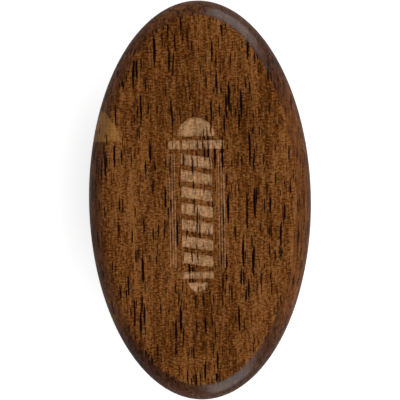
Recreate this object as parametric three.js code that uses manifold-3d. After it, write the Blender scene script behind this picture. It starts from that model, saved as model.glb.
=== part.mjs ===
// Palm-size beard brush: an oval wooden body drilled with blind holes, and a tuft of boar bristle set in
// each hole. Millimetres, +Z up. The brush stands on its bristle tips: the origin is on the tips' plane,
// under the middle of the body, and +Y runs along the body.

import * as THREE from "three";
import { mergeVertices } from "three/addons/utils/BufferGeometryUtils.js";
import Module from "manifold-3d";

const wasm = await Module();
wasm.setup();

// Wooden body
const LENGTH = 115;
const WIDTH = 64;
const BODY_THICKNESS = 20;
const BACK_ROUND_RADIUS = 6.4;
const BACK_CREASE_DEGREES = 16; // what the back's round edge still slopes by where it meets the flat back
const FOOT_ROUND_RADIUS = 1.4; // edge round where the sides meet the bristle face
const SIDE_TUCK = 1.2; // how far the sides draw in towards the bristle face

// Bristle field
const BRISTLE_LENGTH = 16; // free length, from the wood to the tips
const HOLE_DIAMETER = 3.4;
const HOLE_DEPTH = 9;
const TUFT_PITCH = 6; // wanted spacing of the tufts in a row
const ROW_PITCH = 6.1;
const FIELD_MARGIN_SIDE = 6.5; // from the outline to the middle of the outermost tufts
const FIELD_MARGIN_END = 7;

// Engraved barber pole, with a pair of ruled lines on each side of it
const ENGRAVING_DEPTH = 0.2;
const ENGRAVING_X = -0.8;
const POLE_WIDTH = 9;
const STRIPE_COUNT = 7;
const STRIPE_HEIGHT = 3.2;
const STRIPE_PITCH = 4.7;
const STRIPE_DROP = 1.5; // from a stripe's left end to its right end
const POLE_MIDDLE_Y = -3;
const ENGRAVING_GAP = 1.1; // between the stripes, plates and domes along the pole
const TOP_PLATE_WIDTH = 16;
const TOP_PLATE_HEIGHT = 2.6;
const TOP_DOME_RADIUS = 5.4;
const FOOT_PLATE_HEIGHT = 2;
const FOOT_DOME_RADIUS = 2.8;
const RULE_COUNT = 3; // lines in the set on each side
const RULE_WIDTH = 0.35;
const RULE_LENGTH = 33;
const RULE_PITCH = 0.75;
const RULE_OFFSET = 6.3; // from the pole's middle to the inner line of each set

// Clearances between pieces
const TUFT_CLEARANCE = 0.2; // round a tuft in its hole
const ANCHOR_ROOM = 1.2; // left at the bottom of each hole for the anchor wire and the fold
const ROW_GAP = 0.3; // between the spread tips of neighbouring rows
const TIP_MERGE = 0.15; // how far each tuft's spread tips run into the next one in its row

// Fineness of the facets
const BODY_SEGMENTS = 72;
const BACK_ROUND_STEPS = 6;
const FOOT_ROUND_STEPS = 3;
const SIDE_STEPS = 4;
const TUFT_SIDES = 8;
const DOME_STEPS = 10;

// Places worked out from the sizes above
const QUARTER_TURN = Math.PI / 2;
const BACK_ROUND_SWEEP = QUARTER_TURN - THREE.MathUtils.degToRad(BACK_CREASE_DEGREES);
const BRISTLE_FACE_Z = BRISTLE_LENGTH;
const BACK_Z = BRISTLE_FACE_Z + BODY_THICKNESS;
const SHOULDER_Z = BACK_Z - BACK_ROUND_RADIUS * Math.sin(BACK_ROUND_SWEEP);
const FIELD_HALF_WIDTH = WIDTH / 2 - FIELD_MARGIN_SIDE;
const FIELD_HALF_LENGTH = LENGTH / 2 - FIELD_MARGIN_END;

const wood = new THREE.MeshStandardMaterial({ color: 0x633918, roughness: 0.5, metalness: 0 });
const bristle = new THREE.MeshStandardMaterial({ color: 0x2b1d14, roughness: 0.6, metalness: 0 });

// A closed three.js geometry as a solid that can be joined and cut.
function solidFrom(geometry) {
  const bare = geometry.index ? geometry.toNonIndexed() : geometry.clone();
  bare.deleteAttribute("normal");
  bare.deleteAttribute("uv");
  const merged = mergeVertices(bare, 1e-4);
  return new wasm.Manifold(
    new wasm.Mesh({
      numProp: 3,
      vertProperties: merged.attributes.position.array,
      triVerts: new Uint32Array(merged.index.array),
    }),
  );
}

function geometryFrom(solid) {
  const mesh = solid.getMesh();
  const geometry = new THREE.BufferGeometry();
  geometry.setAttribute("position", new THREE.BufferAttribute(mesh.vertProperties, mesh.numProp));
  geometry.setIndex(new THREE.BufferAttribute(mesh.triVerts, 1));
  geometry.computeVertexNormals();
  return geometry;
}

function namedMesh(name, solid, material) {
  const mesh = new THREE.Mesh(geometryFrom(solid), material);
  mesh.name = name;
  return mesh;
}

const joined = (solids) => solids.reduce((all, one) => all.add(one));

// The body's section, as (distance inside the outline, height) from the bristle face round the edge to
// the flat back.
function edgeSection() {
  const points = [];
  for (let i = 0; i <= FOOT_ROUND_STEPS; i++) {
    const angle = (QUARTER_TURN * i) / FOOT_ROUND_STEPS;
    const inset = SIDE_TUCK + FOOT_ROUND_RADIUS * (1 - Math.sin(angle));
    points.push([inset, BRISTLE_FACE_Z + FOOT_ROUND_RADIUS * (1 - Math.cos(angle))]);
  }
  const sideBottomZ = BRISTLE_FACE_Z + FOOT_ROUND_RADIUS;
  for (let i = 1; i < SIDE_STEPS; i++) {
    const share = i / SIDE_STEPS;
    points.push([SIDE_TUCK * (1 - share) ** 2, sideBottomZ + (SHOULDER_Z - sideBottomZ) * share]);
  }
  for (let i = 0; i <= BACK_ROUND_STEPS; i++) {
    const angle = (BACK_ROUND_SWEEP * i) / BACK_ROUND_STEPS;
    const inset = BACK_ROUND_RADIUS * (1 - Math.cos(angle));
    points.push([inset, SHOULDER_Z + BACK_ROUND_RADIUS * Math.sin(angle)]);
  }
  return points;
}

// The point a given distance inside the oval outline, square to it.
function insideOutline(angle, inset) {
  const x = (WIDTH / 2) * Math.cos(angle);
  const y = (LENGTH / 2) * Math.sin(angle);
  const outward = new THREE.Vector2(x / (WIDTH / 2) ** 2, y / (LENGTH / 2) ** 2).normalize();
  return [x - inset * outward.x, y - inset * outward.y];
}

// The body before it is drilled: its section turned as a disc, whose points then move onto the oval.
function bodyBlank() {
  const discRadius = LENGTH / 2;
  const profile = [new THREE.Vector2(0, BRISTLE_FACE_Z)];
  for (const [inset, z] of edgeSection()) {
    profile.push(new THREE.Vector2(discRadius - inset, z));
  }
  profile.push(new THREE.Vector2(0, BACK_Z));
  const blank = new THREE.LatheGeometry(profile, BODY_SEGMENTS);
  blank.rotateX(QUARTER_TURN);
  const position = blank.attributes.position;
  for (let i = 0; i < position.count; i++) {
    const radius = Math.hypot(position.getX(i), position.getY(i));
    const onAxis = radius < discRadius / 2;
    const angle = Math.atan2(position.getY(i), position.getX(i));
    const [x, y] = onAxis ? [0, 0] : insideOutline(angle, discRadius - radius);
    position.setXY(i, x, y);
  }
  return solidFrom(blank);
}

// Rows of tufts across the body. Each row reaches the field's oval edge at both ends, and rows with an
// odd and an even number of tufts take turns, so that the tufts are staggered.
function tuftRows() {
  const rowsPerSide = Math.floor(FIELD_HALF_LENGTH / ROW_PITCH);
  const rows = [];
  for (let i = -rowsPerSide; i <= rowsPerSide; i++) {
    const y = i * ROW_PITCH;
    const reach = FIELD_HALF_WIDTH * Math.sqrt(1 - (y / FIELD_HALF_LENGTH) ** 2);
    const hasMiddleTuft = i % 2 === 0;
    const gaps = hasMiddleTuft
      ? 2 * Math.max(1, Math.round(reach / TUFT_PITCH))
      : 2 * Math.max(1, Math.round(reach / TUFT_PITCH + 0.5)) - 1;
    const pitch = (2 * reach) / gaps;
    const xs = Array.from({ length: gaps + 1 }, (_, k) => (k - gaps / 2) * pitch);
    rows.push({ y, pitch, xs });
  }
  return rows;
}

// An upright prism or cone frustum with flats facing ±X and ±Y.
function uprightFrustum(bottomHalfX, bottomHalfY, topHalfX, topHalfY, bottomZ, topZ) {
  const cornerRadius = 1 / Math.cos(Math.PI / TUFT_SIDES);
  const frustum = new THREE.CylinderGeometry(cornerRadius, cornerRadius, 1, TUFT_SIDES);
  frustum.rotateY(Math.PI / TUFT_SIDES);
  frustum.rotateX(QUARTER_TURN);
  const position = frustum.attributes.position;
  for (let i = 0; i < position.count; i++) {
    const atTop = position.getZ(i) > 0;
    const x = position.getX(i) * (atTop ? topHalfX : bottomHalfX);
    const y = position.getY(i) * (atTop ? topHalfY : bottomHalfY);
    position.setXYZ(i, x, y, atTop ? topZ : bottomZ);
  }
  return solidFrom(frustum);
}

function tuftHole(x, y) {
  const radius = HOLE_DIAMETER / 2;
  const mouthZ = BRISTLE_FACE_Z - FOOT_ROUND_RADIUS;
  const floorZ = BRISTLE_FACE_Z + HOLE_DEPTH;
  return uprightFrustum(radius, radius, radius, radius, mouthZ, floorZ).translate([x, y, 0]);
}

// One tuft: the bound root in its hole, then bristles that spread to the tips.
function tuft(x, y, pitch) {
  const root = HOLE_DIAMETER / 2 - TUFT_CLEARANCE;
  const rootTopZ = BRISTLE_FACE_Z + HOLE_DEPTH - ANCHOR_ROOM;
  const tipHalfX = pitch / 2 + TIP_MERGE;
  const tipHalfY = (ROW_PITCH - ROW_GAP) / 2;
  const spread = uprightFrustum(tipHalfX, tipHalfY, root, root, 0, BRISTLE_FACE_Z);
  const bound = uprightFrustum(root, root, root, root, BRISTLE_FACE_Z - TIP_MERGE, rootTopZ);
  return spread.add(bound).translate([x, y, 0]);
}

function rectangle(middleX, middleY, width, height) {
  const shape = new THREE.Shape();
  shape.moveTo(middleX - width / 2, middleY - height / 2);
  shape.lineTo(middleX + width / 2, middleY - height / 2);
  shape.lineTo(middleX + width / 2, middleY + height / 2);
  shape.lineTo(middleX - width / 2, middleY + height / 2);
  return shape;
}

function slantedStripe(middleY) {
  const left = -POLE_WIDTH / 2;
  const right = POLE_WIDTH / 2;
  const shape = new THREE.Shape();
  shape.moveTo(left, middleY + (STRIPE_DROP - STRIPE_HEIGHT) / 2);
  shape.lineTo(right, middleY - (STRIPE_DROP + STRIPE_HEIGHT) / 2);
  shape.lineTo(right, middleY - (STRIPE_DROP - STRIPE_HEIGHT) / 2);
  shape.lineTo(left, middleY + (STRIPE_DROP + STRIPE_HEIGHT) / 2);
  return shape;
}

// A half disc standing on its flat side, or hanging from it where side is -1.
function dome(baseY, radius, side) {
  const shape = new THREE.Shape();
  const start = side > 0 ? 0 : Math.PI;
  shape.absarc(0, baseY, radius, start, start + Math.PI);
  return shape;
}

// The pole's outlines, stacked outwards from its stripes to the dome at each end.
function engravedOutlines() {
  const outlines = [];
  for (let i = 0; i < STRIPE_COUNT; i++) {
    outlines.push(slantedStripe(POLE_MIDDLE_Y + (i - (STRIPE_COUNT - 1) / 2) * STRIPE_PITCH));
  }
  const poleHalf = ((STRIPE_COUNT - 1) * STRIPE_PITCH + STRIPE_HEIGHT + STRIPE_DROP) / 2;
  const topPlateY = POLE_MIDDLE_Y + poleHalf + ENGRAVING_GAP + TOP_PLATE_HEIGHT / 2;
  const footPlateY = POLE_MIDDLE_Y - poleHalf - ENGRAVING_GAP - FOOT_PLATE_HEIGHT / 2;
  outlines.push(rectangle(0, topPlateY, TOP_PLATE_WIDTH, TOP_PLATE_HEIGHT));
  outlines.push(rectangle(0, footPlateY, POLE_WIDTH, FOOT_PLATE_HEIGHT));
  outlines.push(dome(topPlateY + TOP_PLATE_HEIGHT / 2 + ENGRAVING_GAP, TOP_DOME_RADIUS, 1));
  outlines.push(dome(footPlateY - FOOT_PLATE_HEIGHT / 2 - ENGRAVING_GAP, FOOT_DOME_RADIUS, -1));
  for (const side of [-1, 1]) {
    for (let i = 0; i < RULE_COUNT; i++) {
      outlines.push(rectangle(side * (RULE_OFFSET + i * RULE_PITCH), POLE_MIDDLE_Y, RULE_WIDTH, RULE_LENGTH));
    }
  }
  return outlines;
}

function engravingCutter() {
  const options = { depth: 2 * ENGRAVING_DEPTH, bevelEnabled: false, curveSegments: DOME_STEPS };
  const cuts = engravedOutlines().map((shape) => solidFrom(new THREE.ExtrudeGeometry(shape, options)));
  return joined(cuts).translate([ENGRAVING_X, 0, BACK_Z - ENGRAVING_DEPTH]);
}

const brush = new THREE.Group();
const rows = tuftRows();

const holes = joined(rows.flatMap(({ y, xs }) => xs.map((x) => tuftHole(x, y))));
brush.add(namedMesh("wood_body", bodyBlank().subtract(holes).subtract(engravingCutter()), wood));

rows.forEach(({ y, pitch, xs }, index) => {
  const name = `tuft_row_${String(index + 1).padStart(2, "0")}`;
  brush.add(namedMesh(name, joined(xs.map((x) => tuft(x, y, pitch))), bristle));
});

export default brush;
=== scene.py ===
"""A palm-size beard brush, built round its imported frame: an oval body of dark open-grained wood with an
engraved barber pole on its flat back, rows of boar bristle tufts, and the wires that anchor the tufts.

Metres, +Z up. The brush stands on its bristle tips and +Y runs along the body.
"""

import functools
import math

import bmesh
import bpy
import numpy as np
from bpy.props import FloatProperty, FloatVectorProperty, IntProperty, PointerProperty
from mathutils import Matrix, Vector


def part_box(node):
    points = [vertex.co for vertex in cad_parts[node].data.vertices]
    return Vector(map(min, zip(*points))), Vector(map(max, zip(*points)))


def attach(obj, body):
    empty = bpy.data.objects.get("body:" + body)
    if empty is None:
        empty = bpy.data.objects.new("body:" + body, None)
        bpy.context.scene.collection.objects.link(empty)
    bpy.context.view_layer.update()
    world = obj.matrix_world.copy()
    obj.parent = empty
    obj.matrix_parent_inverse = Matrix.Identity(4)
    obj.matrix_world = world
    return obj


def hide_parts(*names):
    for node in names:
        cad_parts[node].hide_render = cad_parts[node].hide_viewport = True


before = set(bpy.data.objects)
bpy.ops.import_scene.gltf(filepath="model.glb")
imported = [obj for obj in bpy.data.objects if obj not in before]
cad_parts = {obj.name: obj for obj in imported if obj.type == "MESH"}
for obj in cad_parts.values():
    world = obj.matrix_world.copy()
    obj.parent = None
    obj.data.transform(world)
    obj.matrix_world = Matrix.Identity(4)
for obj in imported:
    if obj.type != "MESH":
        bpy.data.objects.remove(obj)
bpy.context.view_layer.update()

bl_info = {
    "name": "Beard brush",
    "version": (1, 0, 0),
    "blender": (4, 5, 0),
    "location": "View3D > Sidebar > Beard brush",
    "description": "Builds an oval wooden beard brush with boar bristle tufts",
    "category": "Add Mesh",
}

MM = 0.001
BODY_NODE = "wood_body"
ROW_PREFIX = "tuft_row_"

# Steps along each part of the body's section
FOOT_STEPS, SIDE_STEPS, EDGE_STEPS, CREASE_STEPS = 6, 10, 16, 4
SUPPORT = 0.35 * MM  # width of the strip round each flat face that keeps the edge's shading off it
DOME_STEPS = 24
SHARP_ANGLE = math.radians(32)  # edges sharper than this are shaded as edges
FINISH_EDGE = 0.02 * MM  # how deep a face has to lie to belong to a cut
ROW_TOLERANCE = 0.5 * MM  # how far a row of tufts may differ from its box in the frame
OUTSIDE, ENGRAVING, HOLES = 0, 1, 2  # places of the body's finishes in its list

# Heights of a strand's rings, from 0 at its root to 1 at its tip. It leaves the wood at the second.
STRAND_LEVELS = [0, 0.3, 0.48, 0.66, 0.84, 1]
LEAVING = STRAND_LEVELS[1]

# How strands differ. The scatter and the least reach are shares of how far the tuft reaches.
SEED = 7
ROOT_SCATTER, TIP_SCATTER = 0.05, 0.07
LEAST_REACH = 0.78
SPREAD_POWER = 1.35  # strands leave the wood nearly straight and spread towards their tips
TAPER_POWER = 1.5
SHORT_POWER = 2.5  # most strands reach nearly to the tips' plane
TONE_STEPS, TONE_SHAPE = 16, (1.6, 2.6)  # dark strands outnumber light ones

WIRE_END_ROOM = 0.1 * MM  # how much shorter an anchor wire is than its hole is wide
WIRE_FACE_ROOM = 0.3 * MM  # how much less of the hole's depth it takes than is left for it

# Each layer of pores: its spacing across and along the grain in millimetres, the pores' thickness as a
# share of the spacing, and a shift that keeps the layers apart
PORE_LAYERS = {
    "bold": (1.3, 15, 0.31, (0, 0, 0)),
    "more": (1.1, 12, 0.32, (9.2, 4.7, 6.1)),
    "middle": (0.85, 7, 0.31, (5.3, 2.1, 0.7)),
    "fine": (0.6, 4.2, 0.33, (1.7, 8.2, 3.9)),
}
LEAST_PORE, PORE_RANGE, PORE_BLUR = 0.45, 0.75, 0.2  # shares of a pore's thickness
FINE_KEPT = 0.75  # share of the fine pores that show

DEEP_STAINS = ((16, 27, 17), (2, -37, 15), (-24, -18, 12))  # (x, y, reach) in millimetres
WOOD_SHINE = 0.03  # oiled wood hardly reflects; the shine of the edge is its lacquer's

# (azimuth and elevation in degrees, distance, width and height in metres)
SOFTBOXES = {"softbox_far": (59, 21, 0.7, 0.6, 0.45), "softbox_near": (-66, 21, 0.7, 0.75, 0.45)}
BACKDROP = 0.95  # brightness of the surroundings as the camera sees them
FLOOR_REACH = 40
CAMERA_CLIP = 100
SENSOR_WIDTH = 36  # in millimetres, as Blender counts it


# ---------------------------------------------------------------- sizes and colours that a user may change


def length(name, description, default):
    kind = {"unit": "LENGTH", "subtype": "DISTANCE"}
    return FloatProperty(name=name, description=description, default=default, **kind)


def angle(name, description, degrees):
    return FloatProperty(name=name, description=description, default=math.radians(degrees), subtype="ANGLE")


def share(name, description, default):
    return FloatProperty(name=name, description=description, default=default, min=0, max=1, subtype="FACTOR")


def colour(name, description, default):
    kind = {"min": 0, "max": 1, "subtype": "COLOR"}
    return FloatVectorProperty(name=name, description=description, default=default, **kind)


def count(name, description, default):
    return IntProperty(name=name, description=description, default=default, min=3)


class BodySizes(bpy.types.PropertyGroup):
    """The wooden body's edges and holes. Its outline and thickness come from the frame."""

    back_round: length("Back round", "Radius of the round edge of the back", 6.4 * MM)
    back_crease: angle("Back crease", "Slope of the round edge where it meets the flat back", 16)
    crease_round: length("Crease round", "Radius that eases the crease", 1.6 * MM)
    foot_round: length("Foot round", "Radius of the edge at the bristle face", 1.4 * MM)
    side_tuck: length("Side tuck", "How far the sides draw in towards the bristle face", 1.2 * MM)
    hole_diameter: length("Hole diameter", "Diameter of the holes that hold the tufts", 3.4 * MM)
    hole_depth: length("Hole depth", "Depth of the holes", 9 * MM)
    hole_chamfer: length("Hole chamfer", "Width of the worn edge at each hole's mouth", 0.2 * MM)
    outline_steps: count("Outline steps", "Facets round the outline", 192)
    hole_steps: count("Hole steps", "Facets round each hole", 20)


class EngravingSizes(bpy.types.PropertyGroup):
    """The barber pole and ruled lines engraved in the back."""

    depth: length("Depth", "Depth of the engraving", 0.2 * MM)
    offset: length("Offset", "Distance of the pole from the body's middle line", -0.8 * MM)
    middle: length("Middle", "Place of the stripes' middle along the body", -3 * MM)
    pole_width: length("Pole width", "Width of the stripes", 9 * MM)
    stripe_count: count("Stripes", "Number of stripes", 7)
    stripe_height: length("Stripe height", "Height of each stripe", 3.2 * MM)
    stripe_pitch: length("Stripe pitch", "Spacing of the stripes", 4.7 * MM)
    stripe_drop: length("Stripe drop", "Fall of each stripe from its left end to its right end", 1.5 * MM)
    gap: length("Gap", "Gap between stripes, plates and domes along the pole", 1.1 * MM)
    top_plate_width: length("Top plate width", "Width of the plate over the stripes", 16 * MM)
    top_plate_height: length("Top plate height", "Height of the plate over the stripes", 2.6 * MM)
    top_dome: length("Top dome", "Radius of the dome over the top plate", 5.4 * MM)
    foot_plate_height: length("Foot plate height", "Height of the plate under the stripes", 2 * MM)
    foot_dome: length("Foot dome", "Radius of the dome under the foot plate", 2.8 * MM)
    rule_count: IntProperty(name="Rules", description="Ruled lines on each side", default=3, min=0)
    rule_width: length("Rule width", "Width of each ruled line", 0.35 * MM)
    rule_length: length("Rule length", "Length of the ruled lines", 33 * MM)
    rule_offset: length("Rule offset", "Distance from the pole's middle to the inner line", 6.3 * MM)
    rule_pitch: length("Rule pitch", "Spacing of the ruled lines", 0.75 * MM)


class TuftSizes(bpy.types.PropertyGroup):
    """The bristle field and its strands."""

    pitch: length("Pitch", "Wanted spacing of the tufts in a row", 6 * MM)
    margin_side: length("Side margin", "From the outline to the outermost tufts, at the sides", 6.5 * MM)
    margin_end: length("End margin", "From the outline to the outermost tufts, at the ends", 7 * MM)
    anchor_room: length("Anchor room", "Room left in each hole for the anchor and the fold", 1.2 * MM)
    clearance: length("Clearance", "Gap round a tuft in its hole", 0.2 * MM)
    strands: count("Strands", "Bristles in each tuft", 130)
    strand_thickness: length("Strand thickness", "Thickness of a bristle at its root", 0.23 * MM)
    tip_thickness: length("Tip thickness", "Thickness of a bristle at its tip", 0.09 * MM)
    unevenness: length("Unevenness", "How far the shortest bristles end short of the tips' plane", 0.9 * MM)
    bend: length("Bend", "How far a bristle bows out of line", 0.22 * MM)
    wire_thickness: length("Wire thickness", "Thickness of the flat anchor wire", 0.4 * MM)


class Finishes(bpy.types.PropertyGroup):
    """The colours of the wood, the engraving, the bristle and the wire."""

    wood_dark: colour("Dark wood", "The wood's darkest figure", (0.075, 0.02, 0.002))
    wood_mid: colour("Middle wood", "The wood's usual tone", (0.2, 0.066, 0.012))
    wood_light: colour("Light wood", "The wood's lightest figure", (0.36, 0.145, 0.042))
    pore: colour("Pore", "The open pores", (0.01, 0.0025, 0.001))
    pore_red: colour("Fine pore", "The finest pores", (0.065, 0.012, 0.003))
    edge_stain: colour("Edge stain", "What the lacquer leaves of the wood's colour", (0.76, 0.72, 0.8))
    sapwood: colour("Sapwood", "The pale streak at the left edge", (0.44, 0.2, 0.052))
    end_stain: colour("End stain", "What the stain leaves of the colour on end grain", (0.34, 0.32, 0.5))
    # Painted shade: the right side of the lacquered edge is made darker to offset the softboxes that light
    # it from that side
    right_painted_shade: colour("Right painted shade", "What the stain leaves of the right side", (0.68, 0.62, 0.55))
    engraved: colour("Engraved", "Bare wood in the engraving", (0.72, 0.39, 0.185))
    bristle_dark: colour("Dark bristle", "The darkest bristles", (0.006, 0.0035, 0.0025))
    bristle_light: colour("Light bristle", "The lightest bristles", (0.1, 0.045, 0.02))
    wire: colour("Wire", "The anchor wire's steel", (0.56, 0.54, 0.5))


class StageSettings(bpy.types.PropertyGroup):
    """The floor, the lights and the camera."""

    floor: colour("Floor", "The floor's colour", (0.9, 0.9, 0.9))
    floor_glow: share("Floor glow", "Brightness added to the floor as seen, which thins the shadow", 0.75)
    mirrored: share("Mirrored", "How bright the floor and surroundings are in reflections", 0.55)
    softbox: FloatProperty(name="Softbox", description="Radiance of the softboxes", default=3.3, min=0)
    surround: FloatProperty(name="Surround", description="Radiance of the surroundings", default=0.28, min=0)
    camera_height: length("Camera height", "Height of the camera over the brush", 1.2)
    camera_roll: angle("Camera roll", "How far the camera is turned about its view", -0.9)
    margin: length("Margin", "Space in view beyond the brush's ends", 0.15 * MM)


# ---------------------------------------------------------------- shared makers


def settings(name):
    return getattr(bpy.context.scene, name)


@functools.cache
def node_box(name):
    """The frame's box of a node. It is worked out once for each node, since that is slow."""
    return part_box(name)


def new_piece(name, mesh, materials, replaced=()):
    """A finished piece of the object: shown, riding on the brush's one body, with its finish."""
    piece = bpy.data.objects.new(name, mesh)
    bpy.context.scene.collection.objects.link(piece)
    for material in materials:
        mesh.materials.append(material)
    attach(piece, "root")
    if replaced:
        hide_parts(*replaced)
    return piece


def applied(mesh, name, kind, **values):
    """The mesh after one modifier, as a new mesh. The old one is removed."""
    holder = bpy.data.objects.new(name, mesh)
    bpy.context.scene.collection.objects.link(holder)
    modifier = holder.modifiers.new(name, kind)
    for key, value in values.items():
        setattr(modifier, key, value)
    graph = bpy.context.evaluated_depsgraph_get()
    result = bpy.data.meshes.new_from_object(holder.evaluated_get(graph))
    result.name = name
    bpy.data.objects.remove(holder)
    bpy.data.meshes.remove(mesh)
    return result


def mesh_from(bm, name):
    mesh = bpy.data.meshes.new(name)
    bm.to_mesh(mesh)
    bm.free()
    return mesh


# ---------------------------------------------------------------- wooden body


def body_levels():
    """(height of the bristle face, height of the back)."""
    low, high = node_box(BODY_NODE)
    return low.z, high.z


def oval_point(turn, inset):
    """The point a given distance inside the body's outline, square to it."""
    half = node_box(BODY_NODE)[1]
    x, y = half.x * math.cos(turn), half.y * math.sin(turn)
    outward = Vector((x / half.x**2, y / half.y**2)).normalized()
    return Vector((x, y)) - inset * outward


def arc(start, end, steps):
    """Even steps from start to end, without the start."""
    return [start + (end - start) * i / steps for i in range(1, steps + 1)]


def body_section():
    """(inset from the outline, height) from the bristle face round the edge to the back."""
    body = settings("brush_body")
    face_z, back_z = body_levels()
    sweep = math.pi / 2 - body.back_crease
    ease_rise = body.crease_round * (1 - math.cos(body.back_crease))
    ease_run = body.crease_round * math.sin(body.back_crease)
    shoulder_z = back_z - ease_rise - body.back_round * math.sin(sweep)
    edge_inset = body.back_round * (1 - math.cos(sweep))
    foot_inset = body.side_tuck + body.foot_round
    section = [(foot_inset + SUPPORT, face_z), (foot_inset, face_z)]
    for turn in arc(0, math.pi / 2, FOOT_STEPS):
        inset = body.side_tuck + body.foot_round * (1 - math.sin(turn))
        section.append((inset, face_z + body.foot_round * (1 - math.cos(turn))))
    low_z = face_z + body.foot_round
    for rise in arc(0, 1, SIDE_STEPS):
        section.append((body.side_tuck * (1 - rise) ** 2, low_z + (shoulder_z - low_z) * rise))
    for turn in arc(0, sweep, EDGE_STEPS):
        inset = body.back_round * (1 - math.cos(turn))
        section.append((inset, shoulder_z + body.back_round * math.sin(turn)))
    for turn in arc(body.back_crease, 0, CREASE_STEPS):
        inset = edge_inset + ease_run - body.crease_round * math.sin(turn)
        section.append((inset, back_z - body.crease_round * (1 - math.cos(turn))))
    section.append((edge_inset + ease_run + SUPPORT, back_z))
    return section


def body_blank():
    """The body before it is drilled and engraved: an oval ring extruded up through the section."""
    steps = settings("brush_body").outline_steps
    section = body_section()
    bm = bmesh.new()
    turn_of = bm.verts.layers.float.new("outline_turn")
    ring = bmesh.ops.create_circle(bm, segments=steps, radius=1)["verts"]
    for vert in ring:
        vert[turn_of] = math.atan2(vert.co.y, vert.co.x)
    edges = bm.edges[:]
    bmesh.ops.contextual_create(bm, geom=edges)
    for i, (inset, z) in enumerate(section):
        if i > 0:
            grown = bmesh.ops.extrude_edge_only(bm, edges=edges)["geom"]
            ring = [g for g in grown if isinstance(g, bmesh.types.BMVert)]
            edges = [g for g in grown if isinstance(g, bmesh.types.BMEdge)]
        for vert in ring:
            vert.co = oval_point(vert[turn_of], inset).to_3d() + Vector((0, 0, z))
    bmesh.ops.contextual_create(bm, geom=edges)
    bmesh.ops.recalc_face_normals(bm, faces=bm.faces[:])
    return mesh_from(bm, "body_blank")


def tuft_rows():
    """For each row of tufts across the body: its node, its place along the body, its pitch, its depth and
    its tufts' places across. Rows are staggered, so every second one has an odd number of gaps."""
    tufts = settings("brush_tufts")
    half = node_box(BODY_NODE)[1]
    reach_x, reach_y = half.x - tufts.margin_side, half.y - tufts.margin_end
    names = sorted(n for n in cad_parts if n.startswith(ROW_PREFIX))
    rows = []
    for i, name in enumerate(names):
        low, high = node_box(name)
        y = (low.y + high.y) / 2
        reach = reach_x * math.sqrt(1 - (y / reach_y) ** 2)
        from_middle = i - len(names) // 2
        if from_middle % 2 == 0:
            gaps = 2 * max(1, round(reach / tufts.pitch))
        else:
            gaps = 2 * max(1, round(reach / tufts.pitch + 0.5)) - 1
        pitch = 2 * reach / gaps
        if abs(2 * reach + pitch - (high.x - low.x)) > ROW_TOLERANCE:
            raise RuntimeError(f"{name} isn't as wide as its tufts: the tuft sizes don't fit the frame")
        xs = [(k - gaps / 2) * pitch for k in range(gaps + 1)]
        rows.append((name, y, pitch, high.y - low.y, xs))
    return rows


def add_hole(bm, x, y):
    """A cutter for one blind hole: a shaft with a small flare at the mouth, which starts below the face."""
    body = settings("brush_body")
    face_z = body_levels()[0]
    radius = body.hole_diameter / 2
    flare = body.hole_chamfer
    rings = [
        (radius + 3 * flare, face_z - 2 * flare),
        (radius, face_z + flare),
        (radius, face_z + body.hole_depth),
    ]
    ring = bmesh.ops.create_circle(bm, segments=body.hole_steps, radius=1)["verts"]
    edges = list({e for v in ring for e in v.link_edges})
    bmesh.ops.contextual_create(bm, geom=edges)
    for i, (size, z) in enumerate(rings):
        if i > 0:
            grown = bmesh.ops.extrude_edge_only(bm, edges=edges)["geom"]
            ring = [g for g in grown if isinstance(g, bmesh.types.BMVert)]
            edges = [g for g in grown if isinstance(g, bmesh.types.BMEdge)]
        for vert in ring:
            flat = vert.co.xy if i == 0 else vert.co.xy - Vector((x, y))
            flat = flat.normalized() * size
            vert.co = Vector((x + flat.x, y + flat.y, z))
    bmesh.ops.contextual_create(bm, geom=edges)


def rectangle(middle_x, middle_y, width, height, drop=0):
    """Corners of a rectangle whose right end falls by drop."""
    left, right = middle_x - width / 2, middle_x + width / 2
    return [
        Vector((left, middle_y + (drop - height) / 2)),
        Vector((right, middle_y - (drop + height) / 2)),
        Vector((right, middle_y - (drop - height) / 2)),
        Vector((left, middle_y + (drop + height) / 2)),
    ]


def dome(base_y, radius, side):
    """Corners of a half circle that bulges from its base towards +Y for side 1 and -Y for side -1."""
    turns = [math.pi * i / DOME_STEPS for i in range(DOME_STEPS + 1)]
    return [Vector((side * radius * math.cos(t), base_y + side * radius * math.sin(t))) for t in turns]


def engraved_outlines():
    """The pole's outlines, stacked outwards from its stripes to the dome at each end."""
    e = settings("brush_engraving")
    middle_stripe = (e.stripe_count - 1) / 2
    stripe_ys = [e.middle + (i - middle_stripe) * e.stripe_pitch for i in range(e.stripe_count)]
    outlines = [rectangle(0, y, e.pole_width, e.stripe_height, e.stripe_drop) for y in stripe_ys]
    pole_half = ((e.stripe_count - 1) * e.stripe_pitch + e.stripe_height + e.stripe_drop) / 2
    top_y = e.middle + pole_half + e.gap + e.top_plate_height / 2
    foot_y = e.middle - pole_half - e.gap - e.foot_plate_height / 2
    outlines.append(rectangle(0, top_y, e.top_plate_width, e.top_plate_height))
    outlines.append(rectangle(0, foot_y, e.pole_width, e.foot_plate_height))
    outlines.append(dome(top_y + e.top_plate_height / 2 + e.gap, e.top_dome, 1))
    outlines.append(dome(foot_y - e.foot_plate_height / 2 - e.gap, e.foot_dome, -1))
    for side in (-1, 1):
        for i in range(e.rule_count):
            offset = e.rule_offset + i * e.rule_pitch
            outlines.append(rectangle(side * offset, e.middle, e.rule_width, e.rule_length))
    return outlines


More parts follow.
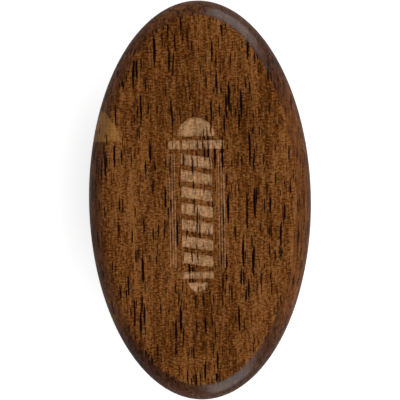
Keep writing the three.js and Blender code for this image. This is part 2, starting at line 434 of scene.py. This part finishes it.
def add_engraving(bm):
    """Cutters for the engraving: each outline as a face, extruded up through the back."""
    e = settings("brush_engraving")
    floor_z = body_levels()[1] - e.depth
    for outline in engraved_outlines():
        corners = [bm.verts.new((p.x + e.offset, p.y, floor_z)) for p in outline]
        face = bm.faces.new(corners)
        grown = bmesh.ops.extrude_face_region(bm, geom=[face])["geom"]
        raised = [g for g in grown if isinstance(g, bmesh.types.BMVert)]
        bmesh.ops.translate(bm, verts=raised, vec=(0, 0, 2 * e.depth))


def body_cutter():
    """Everything that is cut from the body: the holes and the engraving."""
    bm = bmesh.new()
    for _, y, _, _, xs in tuft_rows():
        for x in xs:
            add_hole(bm, x, y)
    add_engraving(bm)
    bmesh.ops.recalc_face_normals(bm, faces=bm.faces[:])
    return mesh_from(bm, "body_cutter")


def give_body_finishes(mesh):
    """Gives each face its finish by where it lies: the lacquered outside, the engraving or the holes."""
    near = FINISH_EDGE
    face_z, back_z = body_levels()
    engraved_z = back_z - settings("brush_engraving").depth
    hole_z = face_z + settings("brush_body").hole_depth
    for face in mesh.polygons:
        z = face.center.z
        face.material_index = OUTSIDE
        if inside_engraving(face.center) and engraved_z - near < z < back_z - near:
            face.material_index = ENGRAVING
        elif inside_field(face.center) and face_z + near < z < hole_z + near:
            face.material_index = HOLES


def inside_engraving(point):
    """Whether a point lies over or under the engraved pole and its ruled lines."""
    e = settings("brush_engraving")
    across = e.rule_offset + (e.rule_count + 1) * e.rule_pitch
    along = (e.stripe_count + 1) * e.stripe_pitch
    return abs(point.x - e.offset) < across and abs(point.y - e.middle) < along


def inside_field(point):
    """Whether a point lies under the bristle field, clear of the body's sides."""
    body, tufts = settings("brush_body"), settings("brush_tufts")
    half = node_box(BODY_NODE)[1]
    reach_x = half.x - tufts.margin_side + body.hole_diameter
    reach_y = half.y - tufts.margin_end + body.hole_diameter
    return (point.x / reach_x) ** 2 + (point.y / reach_y) ** 2 < 1


def wooden_body_mesh():
    """The body with its holes and its engraving cut, smooth but for its sharp edges."""
    cutter = bpy.data.objects.new("body_cutter", body_cutter())
    bpy.context.scene.collection.objects.link(cutter)
    cut = {"object": cutter, "operation": "DIFFERENCE", "solver": "EXACT"}
    mesh = applied(body_blank(), "wooden_body", "BOOLEAN", **cut)
    bpy.data.meshes.remove(cutter.data)
    mesh.shade_smooth()
    mesh.set_sharp_from_angle(angle=SHARP_ANGLE)
    return mesh


# ---------------------------------------------------------------- bristles and anchors


def strand_template(levels):
    """One upright three-sided strand of unit radius, with a ring at each level."""
    bm = bmesh.new()
    bmesh.ops.create_circle(bm, segments=3, radius=1)
    edges = bm.edges[:]
    bmesh.ops.contextual_create(bm, geom=edges)
    for previous, level in zip(levels, levels[1:]):
        grown = bmesh.ops.extrude_edge_only(bm, edges=edges)["geom"]
        edges = [g for g in grown if isinstance(g, bmesh.types.BMEdge)]
        raised = [g for g in grown if isinstance(g, bmesh.types.BMVert)]
        bmesh.ops.translate(bm, verts=raised, vec=(0, 0, level - previous))
    bmesh.ops.contextual_create(bm, geom=edges)
    bmesh.ops.recalc_face_normals(bm, faces=bm.faces[:])
    return mesh_from(bm, "strand")


def tuft_row_mesh(name, y, pitch, depth, xs, rng):
    """All the strands of one row of tufts, as copies of one template that are placed and shaped here."""
    body, tufts = settings("brush_body"), settings("brush_tufts")
    face_z = body_levels()[0]
    total = tufts.strands * len(xs)
    copies = {"count": total, "use_relative_offset": False, "use_constant_offset": False}
    mesh = applied(strand_template(STRAND_LEVELS), name, "ARRAY", **copies)
    points = np.empty(len(mesh.vertices) * 3)
    mesh.vertices.foreach_get("co", points)
    points = points.reshape(total, -1, 3)
    ring, level = points[:, :, :2], points[:, :, 2]

    # Roots lie evenly in the hole, as packed bristles do. Tips spread to their share of the field.
    k = np.tile(np.arange(tufts.strands), len(xs))
    spin = np.repeat(rng.uniform(0, 2 * np.pi, len(xs)), tufts.strands)
    out = np.sqrt((k + 0.5) / tufts.strands)
    golden = np.pi * (3 - np.sqrt(5))
    way = np.stack([np.cos(k * golden + spin), np.sin(k * golden + spin)], 1) * out[:, None]
    way += rng.normal(0, ROOT_SCATTER, way.shape)
    root_reach = body.hole_diameter / 2 - tufts.clearance - tufts.strand_thickness / 2
    tip_reach = np.array([pitch / 2, depth / 2]) - tufts.tip_thickness
    middle = np.stack([np.repeat(xs, tufts.strands), np.full(total, y)], 1)
    root = way / np.maximum(1, np.hypot(*way.T))[:, None] * root_reach
    tip = way * rng.uniform(LEAST_REACH, 1.0, (total, 1)) + rng.normal(0, TIP_SCATTER, way.shape)
    tip = tip.clip(-1, 1) * tip_reach
    bow = rng.normal(0, tufts.bend, way.shape)

    # Below is 0 inside the wood and grows to 1 at the tip. In_hole is 1 at the root and 0 outside the wood.
    below = ((level - LEAVING) / (1 - LEAVING)).clip(0, 1)[:, :, None]
    line = root[:, None] + (tip - root)[:, None] * below**SPREAD_POWER
    line += bow[:, None] * np.sin(np.pi * below)
    line = line.clip(-tip_reach, tip_reach)
    thick = tufts.strand_thickness + (tufts.tip_thickness - tufts.strand_thickness) * below**TAPER_POWER
    placed = np.empty_like(points)
    placed[:, :, :2] = middle[:, None] + line + ring * thick / 2

    root_z = face_z + body.hole_depth - tufts.anchor_room
    short = tufts.unevenness * rng.uniform(0, 1, total) ** SHORT_POWER
    in_hole = 1 - (level / LEAVING).clip(0, 1)
    free = face_z - (face_z - short[:, None]) * below[:, :, 0]
    placed[:, :, 2] = np.where(level <= LEAVING, face_z + (root_z - face_z) * in_hole, free)
    mesh.vertices.foreach_set("co", placed.ravel())

    tone = np.floor(rng.beta(*TONE_SHAPE, total) * TONE_STEPS).clip(0, TONE_STEPS - 1)
    add_values(mesh, "strand_tone", np.repeat((tone + 0.5) / TONE_STEPS, points.shape[1]))
    add_values(mesh, "strand_way", level.ravel())
    mesh.shade_smooth()
    mesh.flip_normals()  # the template stands on its root and the strands hang from theirs
    mesh.update()
    return mesh


def add_values(mesh, name, values):
    """One number for each vertex, for a material to read."""
    attribute = mesh.attributes.new(name, "FLOAT", "POINT")
    attribute.data.foreach_set("value", values.astype(np.float32))


def anchor_row_mesh(name, y, xs):
    """The flat wires that hold one row's tufts: one across each hole, over the tuft's fold."""
    body, tufts = settings("brush_body"), settings("brush_tufts")
    z = body_levels()[0] + body.hole_depth - tufts.anchor_room / 2
    wire_length = body.hole_diameter - WIRE_END_ROOM
    size = Vector((wire_length, tufts.wire_thickness, tufts.anchor_room - WIRE_FACE_ROOM))
    bm = bmesh.new()
    for x in xs:
        place = Matrix.LocRotScale(Vector((x, y, z)), None, size)
        bmesh.ops.create_cube(bm, size=1, matrix=place)
    ease = tufts.wire_thickness / 5
    bmesh.ops.bevel(bm, geom=bm.edges[:], offset=ease, segments=1, profile=0.5, affect="EDGES", material=-1)
    return mesh_from(bm, name)


# ---------------------------------------------------------------- node helpers


# Sockets of a colour mix, by place, since their names are shared by the mixes of other kinds
MIX_FIRST, MIX_SECOND, MIX_RESULT = 6, 7, 2


class Nodes:
    """Adds nodes to a tree."""

    def __init__(self, tree):
        self.tree = tree

    def add(self, kind, inputs=(), **values):
        node = self.tree.nodes.new(kind)
        for key, value in values.items():
            setattr(node, key, value)
        self.fill(node, dict(inputs))
        return node

    def fill(self, node, inputs):
        """Links each input that is given a socket, and sets each one that is given a value."""
        for key, value in inputs.items():
            if isinstance(value, bpy.types.NodeSocket):
                self.tree.links.new(value, node.inputs[key])
            else:
                node.inputs[key].default_value = value

    def group(self, tree, vector):
        return self.add("ShaderNodeGroup", {"Vector": vector}, node_tree=tree)

    def math(self, operation, *values, clamp=False):
        node = self.add("ShaderNodeMath", dict(enumerate(values)), operation=operation, use_clamp=clamp)
        return node.outputs[0]

    def mix(self, factor, first, second, blend="MIX"):
        inputs = {"Factor": factor, MIX_FIRST: first, MIX_SECOND: second}
        node = self.add("ShaderNodeMix", inputs, data_type="RGBA", blend_type=blend)
        return node.outputs[MIX_RESULT]

    def ease(self, value, low, high):
        """0 below low and 1 above high, with a smooth step between."""
        inputs = {"Value": value, "From Min": low, "From Max": high}
        node = self.add("ShaderNodeMapRange", inputs, interpolation_type="SMOOTHSTEP")
        return node.outputs[0]

    def stretched(self, vector, periods, shift=(0, 0, 0)):
        """Coordinates in which one unit is the given length along each axis."""
        inputs = {"Vector": vector, "Scale": [1 / p for p in periods], "Location": shift}
        return self.add("ShaderNodeMapping", inputs).outputs[0]

    def noise(self, vector, detail=2.0, roughness=0.5):
        inputs = {"Vector": vector, "Scale": 1.0, "Detail": detail, "Roughness": roughness}
        return self.add("ShaderNodeTexNoise", inputs).outputs[0]

    def separate(self, vector):
        return self.add("ShaderNodeSeparateXYZ", {0: vector}).outputs

    def object_place(self):
        return self.add("ShaderNodeTexCoord").outputs["Object"]


def new_group(name, inputs, outputs):
    """An empty node group. Returns its tree, its helper, its inputs and a function that sets its outputs."""
    tree = bpy.data.node_groups.new(name, "ShaderNodeTree")
    for key, (kind, value) in inputs.items():
        socket = tree.interface.new_socket(name=key, in_out="INPUT", socket_type=kind)
        if value is not None:
            socket.default_value = value
    for key, kind in outputs.items():
        tree.interface.new_socket(name=key, in_out="OUTPUT", socket_type=kind)
    nodes = Nodes(tree)
    entry = nodes.add("NodeGroupInput")
    leave = nodes.add("NodeGroupOutput")

    def put(**values):
        for key, value in values.items():
            tree.links.new(value, leave.inputs[key])

    return tree, nodes, entry.outputs, put


def rgba(values):
    return (*values, 1.0)


VECTOR, NUMBER = "NodeSocketVector", "NodeSocketFloat"


# ---------------------------------------------------------------- wood


def pore_layer(nodes, vector, layer, kept):
    """One layer of pores: needle-shaped cells stretched along the grain, of which a share is kept."""
    across, along, thickness, shift = PORE_LAYERS[layer]
    cells = nodes.stretched(vector, (across * MM, along * MM, across * MM), shift)
    inputs = {"Vector": cells, "Scale": 1.0, "Randomness": 1.0}
    voronoi = nodes.add("ShaderNodeTexVoronoi", inputs, feature="F1", voronoi_dimensions="3D")
    chance = nodes.add("ShaderNodeSeparateColor", {0: voronoi.outputs["Color"]}).outputs
    size = nodes.math("MULTIPLY_ADD", chance[1], PORE_RANGE * thickness, LEAST_PORE * thickness)
    inside = nodes.math("SUBTRACT", size, voronoi.outputs["Distance"])
    mask = nodes.ease(inside, 0.0, PORE_BLUR * thickness)
    return nodes.math("MULTIPLY", mask, nodes.math("LESS_THAN", chance[0], kept))


def open_pores_group():
    """The vessels of an open-grained wood, which show as dark dashes along the grain and dots across it."""
    outputs = {"Mask": NUMBER, "Fine": NUMBER}
    tree, nodes, given, put = new_group("open_pores", {"Vector": (VECTOR, None)}, outputs)
    vector = given["Vector"]
    wander = nodes.noise(nodes.stretched(vector, (7 * MM, 16 * MM, 7 * MM)), 2.0)
    ragged = nodes.noise(nodes.stretched(vector, (0.5 * MM, 1.0 * MM, 0.5 * MM)), 1.0)
    sway = nodes.math("MULTIPLY", nodes.math("SUBTRACT", wander, 0.5), 1.1 * MM)
    tremble = nodes.math("MULTIPLY", nodes.math("SUBTRACT", ragged, 0.5), 0.4 * MM)
    aside = nodes.add("ShaderNodeCombineXYZ", {0: nodes.math("ADD", sway, tremble)}).outputs[0]
    moved = nodes.add("ShaderNodeVectorMath", {0: vector, 1: aside}, operation="ADD").outputs[0]
    crowd = nodes.noise(nodes.stretched(vector, (9 * MM, 26 * MM, 9 * MM), (3.1, 0.4, 0)), 2.0, 0.6)
    crowd = nodes.ease(crowd, 0.3, 0.7)
    bold_kept = nodes.math("MULTIPLY_ADD", crowd, 0.8, 0.2)
    bold = pore_layer(nodes, moved, "bold", bold_kept)
    more = pore_layer(nodes, moved, "more", bold_kept)
    middle_kept = nodes.math("MULTIPLY_ADD", crowd, 0.6, 0.4)
    middle = nodes.math("MULTIPLY", pore_layer(nodes, moved, "middle", middle_kept), 0.9)
    every = nodes.math("MAXIMUM", nodes.math("MAXIMUM", bold, more), middle)
    put(Mask=every, Fine=pore_layer(nodes, moved, "fine", FINE_KEPT))
    return tree


def grain_figure_group():
    """Tone of the wood from 0, dark, to 1, light: broad streaks, fibres and cross ripple."""
    inputs = {"Vector": (VECTOR, None), "Ripple": (NUMBER, 2.1)}
    tree, nodes, given, put = new_group("grain_figure", inputs, {"Tone": NUMBER, "Fibre": NUMBER})
    vector = given["Vector"]
    broad = nodes.noise(nodes.stretched(vector, (8 * MM, 55 * MM, 10 * MM), (0.2, 1.6, 0)), 3.0, 0.55)
    streak = nodes.noise(nodes.stretched(vector, (1.3 * MM, 18 * MM, 1.6 * MM)), 2.0, 0.6)
    fibre = nodes.noise(nodes.stretched(vector, (0.45 * MM, 4 * MM, 0.45 * MM)), 2.0, 0.6)
    ripple = nodes.noise(nodes.stretched(vector, (0.95 * MM, 0.45 * MM, 0.95 * MM)), 2.0, 0.7)
    parts = [(broad, 0.8), (streak, 1.1), (fibre, 1.2), (ripple, given["Ripple"])]
    tone = 0.5
    for value, weight in parts:
        tone = nodes.math("MULTIPLY_ADD", nodes.math("SUBTRACT", value, 0.5), weight, tone)
    rough = nodes.math("MULTIPLY_ADD", fibre, 0.6, nodes.math("MULTIPLY", ripple, 0.4))
    put(Tone=tone, Fibre=rough)
    return tree


def three_tones(nodes, tone, finishes):
    """Dark, middle and light wood, blended by tone."""
    lower = nodes.mix(nodes.ease(tone, 0.12, 0.5), rgba(finishes.wood_dark), rgba(finishes.wood_mid))
    return nodes.mix(nodes.ease(tone, 0.45, 0.95), lower, rgba(finishes.wood_light))


def clouds(nodes, vector):
    """How much deeper the stain is, from 0 to 1: most at the middle of each deeply stained area."""
    place = nodes.separate(vector)
    total = 0.0
    for x, y, reach in DEEP_STAINS:
        dx = nodes.math("DIVIDE", nodes.math("SUBTRACT", place[0], x * MM), reach * MM)
        dy = nodes.math("DIVIDE", nodes.math("SUBTRACT", place[1], y * MM), reach * MM)
        far = nodes.math("ADD", nodes.math("MULTIPLY", dx, dx), nodes.math("MULTIPLY", dy, dy))
        total = nodes.math("ADD", nodes.math("SUBTRACT", 1.0, nodes.ease(far, 0.0, 1.4)), total)
    return total


def sapwood_mask(nodes, vector):
    """The pale wedge at the left edge: left of a slanted line, above its lower end, narrowing with depth."""
    place = nodes.separate(vector)
    wobble = nodes.noise(nodes.stretched(vector, (2.2 * MM, 3.5 * MM, 2.2 * MM)), 3.0, 0.6)
    wobble = nodes.math("MULTIPLY", nodes.math("SUBTRACT", wobble, 0.5), 3.2 * MM)
    slant_x, slant_y, narrowing = 0.897, 0.441, 0.42
    line_place, lower_end = -12.2 * MM, 17.0 * MM
    across = nodes.math("MULTIPLY_ADD", place[1], slant_y, nodes.math("MULTIPLY", place[0], slant_x))
    depth = nodes.math("SUBTRACT", body_levels()[1], place[2])
    across = nodes.math("MULTIPLY_ADD", depth, narrowing, across)
    left = nodes.math("SUBTRACT", nodes.math("ADD", line_place, wobble), across)
    above = nodes.math("SUBTRACT", nodes.math("ADD", place[1], wobble), lower_end)
    edges = nodes.ease(left, -0.15 * MM, 0.25 * MM), nodes.ease(above, -0.3 * MM, 0.5 * MM)
    return nodes.math("MULTIPLY", *edges)


def new_material(name):
    material = bpy.data.materials.new(name)
    material.use_nodes = True
    tree = material.node_tree
    return material, Nodes(tree), tree.nodes["Principled BSDF"]


def link(nodes, shader, **values):
    """Sets or links the shader's sockets, named with underscores for spaces."""
    nodes.fill(shader, {key.replace("_", " "): value for key, value in values.items()})


def darker(values, kept):
    """The colour with only a share of its light kept."""
    return rgba([c * kept for c in values])


def lacquer_mask(nodes, vector):
    """1 where the body falls away from its back and is lacquered, 0 on the back. Softer on the left."""
    place = nodes.separate(vector)
    drop = nodes.math("SUBTRACT", body_levels()[1], place[2])
    smudge = nodes.noise(nodes.stretched(vector, (2.5 * MM, 4 * MM, 2.5 * MM)), 3.0, 0.6)
    leftward = nodes.math("SUBTRACT", 1.0, nodes.ease(place[0], -22 * MM, 0.0))
    blur = nodes.math("MULTIPLY_ADD", leftward, 0.7 * MM, 0.12 * MM)
    drop = nodes.math("ADD", drop, nodes.math("MULTIPLY", nodes.math("SUBTRACT", smudge, 0.5), blur))
    return nodes.ease(drop, 0.02 * MM, nodes.math("MULTIPLY_ADD", leftward, 0.7 * MM, 0.26 * MM))


def edge_stains_and_painted_shade(nodes, vector, finishes):
    """What is left of the edge's colour: least on the end grain, where the stain is deepest, and less on the
    right, as painted shade against the softboxes there.
    """
    place = nodes.separate(vector)
    near_end = nodes.ease(nodes.math("MULTIPLY", place[1], -1.0), 26 * MM, 46 * MM)
    far_right = nodes.ease(place[1], 24 * MM, 40 * MM), nodes.ease(place[0], -6 * MM, 8 * MM)
    ends = nodes.math("MAXIMUM", near_end, nodes.math("MULTIPLY", *far_right))
    # Painted shade: darker towards the right, where the softboxes fall
    painted_shade_share = nodes.ease(place[0], 0.0, 24 * MM)
    sides = nodes.mix(painted_shade_share, rgba(finishes.edge_stain), rgba(finishes.right_painted_shade))
    return nodes.mix(ends, sides, rgba(finishes.end_stain))


def lacquered_wood(groups):
    """The body's outside: oiled and matte on the flat back, stained darker and lacquered everywhere else,
    with painted shade on the right of the edge.
    """
    finishes = settings("brush_finishes")
    material, nodes, shader = new_material("lacquered_wood")
    vector = nodes.object_place()
    figure = nodes.group(groups["figure"], vector)
    pores = nodes.group(groups["pores"], vector)
    edge = lacquer_mask(nodes, vector)
    nodes.fill(figure, {"Ripple": nodes.math("MULTIPLY_ADD", edge, -1.4, 2.5)})

    tone = nodes.math("MULTIPLY_ADD", clouds(nodes, vector), -0.1, figure.outputs["Tone"])
    colour_now = three_tones(nodes, tone, finishes)
    # The edge is darkened by its stain, most on the end grain, and on the right by painted shade
    colour_now = nodes.mix(edge, colour_now, edge_stains_and_painted_shade(nodes, vector, finishes), "MULTIPLY")
    pale = nodes.math("MULTIPLY", sapwood_mask(nodes, vector), 0.95)
    sap_tone = nodes.ease(figure.outputs["Tone"], 0.1, 0.75)
    sap = nodes.mix(sap_tone, darker(finishes.sapwood, 0.6), rgba(finishes.sapwood))
    colour_now = nodes.mix(pale, colour_now, sap)
    seen = nodes.math("SUBTRACT", 1.0, nodes.math("MULTIPLY", edge, 0.2))
    fine = nodes.math("MULTIPLY", pores.outputs["Fine"], nodes.math("MULTIPLY", seen, 0.75))
    colour_now = nodes.mix(fine, colour_now, rgba(finishes.pore_red))
    bold = nodes.math("MULTIPLY", pores.outputs["Mask"], seen)
    colour_now = nodes.mix(bold, colour_now, rgba(finishes.pore))

    matte = nodes.math("MULTIPLY_ADD", figure.outputs["Fibre"], 0.25, 0.5)
    relief = nodes.math("MULTIPLY_ADD", bold, -1.0, nodes.math("MULTIPLY", figure.outputs["Fibre"], 0.25))
    relief = nodes.math("MULTIPLY", relief, nodes.math("MULTIPLY_ADD", edge, -0.85, 1.0))
    bump = nodes.add("ShaderNodeBump", {"Height": relief, "Strength": 0.5, "Distance": 0.15 * MM})
    link(nodes, shader, Base_Color=colour_now, Roughness=matte, Specular_IOR_Level=WOOD_SHINE)
    link(nodes, shader, Coat_Weight=nodes.math("MULTIPLY", edge, 0.55), Coat_Roughness=0.23, Coat_IOR=1.5)
    link(nodes, shader, Normal=bump.outputs[0])
    return material


def engraved_wood(groups):
    """Bare wood where the stain has been cut away."""
    finishes = settings("brush_finishes")
    material, nodes, shader = new_material("engraved_wood")
    vector = nodes.object_place()
    figure = nodes.group(groups["figure"], vector)
    pores = nodes.group(groups["pores"], vector)
    tone = nodes.ease(figure.outputs["Tone"], 0.1, 0.9)
    colour_now = nodes.mix(tone, darker(finishes.engraved, 0.45), rgba(finishes.engraved))
    worn = nodes.noise(nodes.stretched(vector, (0.9 * MM, 2 * MM, 0.9 * MM), (4.0, 1.0, 2.0)), 3.0, 0.7)
    worn = nodes.math("MULTIPLY", nodes.ease(worn, 0.5, 0.66), 0.55)
    colour_now = nodes.mix(worn, colour_now, rgba(finishes.wood_mid))
    fine = nodes.math("MULTIPLY", pores.outputs["Fine"], 0.6)
    colour_now = nodes.mix(fine, colour_now, rgba(finishes.wood_mid))
    bold = nodes.math("MULTIPLY", pores.outputs["Mask"], 0.9)
    colour_now = nodes.mix(bold, colour_now, rgba(finishes.pore))
    height = {"Height": figure.outputs["Fibre"], "Strength": 0.6, "Distance": 0.1 * MM}
    bump = nodes.add("ShaderNodeBump", height)
    rough = nodes.math("MULTIPLY_ADD", figure.outputs["Fibre"], 0.2, 0.65)
    link(nodes, shader, Base_Color=colour_now, Roughness=rough, Specular_IOR_Level=WOOD_SHINE)
    link(nodes, shader, Normal=bump.outputs[0])
    return material


def drilled_wood(groups):
    """The raw walls of the holes."""
    finishes = settings("brush_finishes")
    material, nodes, shader = new_material("drilled_wood")
    figure = nodes.group(groups["figure"], nodes.object_place())
    colour_now = nodes.mix(figure.outputs["Tone"], rgba(finishes.wood_dark), rgba(finishes.wood_light))
    rough = nodes.math("MULTIPLY_ADD", figure.outputs["Fibre"], 0.2, 0.7)
    link(nodes, shader, Base_Color=colour_now, Roughness=rough, Specular_IOR_Level=0.2)
    return material


# ---------------------------------------------------------------- bristle and wire


def boar_bristle():
    """Dark natural bristle, each strand of its own tone and paler towards its tip."""
    finishes = settings("brush_finishes")
    material, nodes, shader = new_material("boar_bristle")
    tone = nodes.add("ShaderNodeAttribute", attribute_name="strand_tone").outputs["Fac"]
    way = nodes.add("ShaderNodeAttribute", attribute_name="strand_way").outputs["Fac"]
    pale = nodes.math("MULTIPLY", tone, nodes.math("MULTIPLY_ADD", nodes.ease(way, 0.5, 1.0), 0.55, 0.45))
    colour_now = nodes.mix(pale, rgba(finishes.bristle_dark), rgba(finishes.bristle_light))
    rough = nodes.math("MULTIPLY_ADD", tone, 0.15, 0.32)
    link(nodes, shader, Base_Color=colour_now, Roughness=rough, Specular_IOR_Level=0.5)
    return material


def anchor_steel():
    """Drawn flat wire: bright steel with fine draw marks along it."""
    finishes = settings("brush_finishes")
    material, nodes, shader = new_material("anchor_steel")
    marks = nodes.noise(nodes.stretched(nodes.object_place(), (2 * MM, 0.06 * MM, 0.06 * MM)), 2.0)
    steel = nodes.mix(marks, darker(finishes.wire, 0.6), rgba(finishes.wire))
    rough = nodes.math("MULTIPLY_ADD", marks, 0.3, 0.2)
    link(nodes, shader, Base_Color=steel, Metallic=1.0, Roughness=rough)
    return material


# ---------------------------------------------------------------- stage


def floor_material():
    """A white floor that glows as the camera sees it and is dimmed in reflections."""
    stage = settings("brush_stage")
    material, nodes, shader = new_material("pale_floor")
    white = rgba(stage.floor)
    ray = nodes.add("ShaderNodeLightPath").outputs
    shown = nodes.mix(ray["Is Glossy Ray"], white, darker(stage.floor, stage.mirrored))
    link(nodes, shader, Base_Color=shown, Roughness=0.9, Specular_IOR_Level=0.0)
    glow = nodes.math("MULTIPLY", ray["Is Camera Ray"], stage.floor_glow)
    link(nodes, shader, Emission_Color=white, Emission_Strength=glow)
    return material


def add_floor():
    bm = bmesh.new()
    bmesh.ops.create_grid(bm, x_segments=1, y_segments=1, size=FLOOR_REACH)
    mesh = mesh_from(bm, "floor")
    mesh.materials.append(floor_material())
    floor = bpy.data.objects.new("floor", mesh)
    bpy.context.scene.collection.objects.link(floor)


def add_softbox(name, azimuth, elevation, distance, width, height):
    """An area light that faces the brush. Azimuth is from +X towards +Y, and elevation is above level."""
    stage = settings("brush_stage")
    azimuth, elevation = math.radians(azimuth), math.radians(elevation)
    light = bpy.data.lights.new(name, "AREA")
    light.shape = "RECTANGLE"
    light.size, light.size_y = width, height
    light.energy = stage.softbox * math.pi * width * height
    lamp = bpy.data.objects.new(name, light)
    flat = math.cos(elevation)
    way = Vector((flat * math.cos(azimuth), flat * math.sin(azimuth), math.sin(elevation)))
    lamp.location = way * distance + Vector((0, 0, body_levels()[1]))
    lamp.rotation_euler = way.to_track_quat("Z", "X").to_euler()
    lamp.visible_camera = False
    bpy.context.scene.collection.objects.link(lamp)


def surroundings():
    """A world that is white as the camera sees it, and dimmer as the light that falls on the brush."""
    stage = settings("brush_stage")
    world = bpy.data.worlds.new("surroundings")
    world.use_nodes = True
    nodes = Nodes(world.node_tree)
    ray = nodes.add("ShaderNodeLightPath").outputs
    seen = nodes.math("MULTIPLY", ray["Is Camera Ray"], BACKDROP)
    dimmed = nodes.math("MULTIPLY_ADD", ray["Is Glossy Ray"], stage.mirrored - 1.0, 1.0)
    around = nodes.math("MULTIPLY", dimmed, stage.surround)
    strength = nodes.math("MAXIMUM", seen, around)
    nodes.fill(world.node_tree.nodes["Background"], {"Color": (1, 1, 1, 1), "Strength": strength})
    return world


def add_camera():
    """Looks straight down on the back, with the brush's ends just inside the picture."""
    stage = settings("brush_stage")
    half = node_box(BODY_NODE)[1]
    camera = bpy.data.cameras.new("camera")
    camera.sensor_width = SENSOR_WIDTH
    widest_z = body_levels()[1] - settings("brush_body").back_round
    far = stage.camera_height
    camera.lens = camera.sensor_width * far / (2 * (half.y + stage.margin))
    camera.clip_end = CAMERA_CLIP
    view = bpy.data.objects.new("camera", camera)
    view.location = (0, 0, widest_z + far)
    view.rotation_euler = (0, 0, stage.camera_roll)
    bpy.context.scene.collection.objects.link(view)
    bpy.context.scene.camera = view


# ---------------------------------------------------------------- operators


class BRUSH_OT_wooden_body(bpy.types.Operator):
    """Make the oval wooden body with its holes and its engraving"""

    bl_idname = "brush.wooden_body"
    bl_label = "Wooden body"

    def execute(self, context):
        groups = {"figure": grain_figure_group(), "pores": open_pores_group()}
        mesh = wooden_body_mesh()
        finishes = [lacquered_wood(groups), engraved_wood(groups), drilled_wood(groups)]
        mesh.materials.clear()
        new_piece("wooden_body", mesh, finishes, [BODY_NODE])
        give_body_finishes(mesh)
        return {"FINISHED"}


class BRUSH_OT_tuft_rows(bpy.types.Operator):
    """Make the rows of boar bristle tufts"""

    bl_idname = "brush.tuft_rows"
    bl_label = "Bristle tufts"

    def execute(self, context):
        finish = boar_bristle()
        rng = np.random.default_rng(SEED)
        for i, (node, y, pitch, depth, xs) in enumerate(tuft_rows(), 1):
            name = f"bristles_row_{i:02d}"
            mesh = tuft_row_mesh(name, y, pitch, depth, xs, rng)
            new_piece(name, mesh, [finish], [node])
        return {"FINISHED"}


class BRUSH_OT_anchor_wires(bpy.types.Operator):
    """Make the flat wires that anchor the tufts in their holes"""

    bl_idname = "brush.anchor_wires"
    bl_label = "Anchor wires"

    def execute(self, context):
        finish = anchor_steel()
        for i, (_, y, _, _, xs) in enumerate(tuft_rows(), 1):
            name = f"anchor_wires_row_{i:02d}"
            new_piece(name, anchor_row_mesh(name, y, xs), [finish])
        return {"FINISHED"}


class BRUSH_OT_stage(bpy.types.Operator):
    """Make the floor, the lights, the surroundings and the camera"""

    bl_idname = "brush.stage"
    bl_label = "Stage"

    def execute(self, context):
        context.scene.world = surroundings()
        context.scene.view_settings.view_transform = "Standard"
        add_floor()
        for name, placing in SOFTBOXES.items():
            add_softbox(name, *placing)
        add_camera()
        return {"FINISHED"}


class BRUSH_PT_panel(bpy.types.Panel):
    """Lists the brush's operators and settings"""

    bl_idname = "BRUSH_PT_panel"
    bl_label = "Beard brush"
    bl_space_type = "VIEW_3D"
    bl_region_type = "UI"
    bl_category = "Beard brush"

    def draw(self, context):
        for operator in OPERATORS:
            self.layout.operator(operator.bl_idname)
        for name in GROUPS:
            group = getattr(context.scene, name)
            for key in type(group).__annotations__:
                self.layout.prop(group, key)


OPERATORS = (BRUSH_OT_wooden_body, BRUSH_OT_tuft_rows, BRUSH_OT_anchor_wires, BRUSH_OT_stage)
GROUPS = {
    "brush_body": BodySizes,
    "brush_engraving": EngravingSizes,
    "brush_tufts": TuftSizes,
    "brush_finishes": Finishes,
    "brush_stage": StageSettings,
}


def register():
    for kind in (*GROUPS.values(), *OPERATORS, BRUSH_PT_panel):
        bpy.utils.register_class(kind)
    for name, kind in GROUPS.items():
        setattr(bpy.types.Scene, name, PointerProperty(type=kind))


def unregister():
    for name in GROUPS:
        delattr(bpy.types.Scene, name)
    for kind in (BRUSH_PT_panel, *reversed(OPERATORS), *reversed(GROUPS.values())):
        bpy.utils.unregister_class(kind)


def main():
    register()
    bpy.ops.brush.wooden_body()
    bpy.ops.brush.tuft_rows()
    bpy.ops.brush.anchor_wires()
    bpy.ops.brush.stage()


if __name__ == "__main__":
    main()
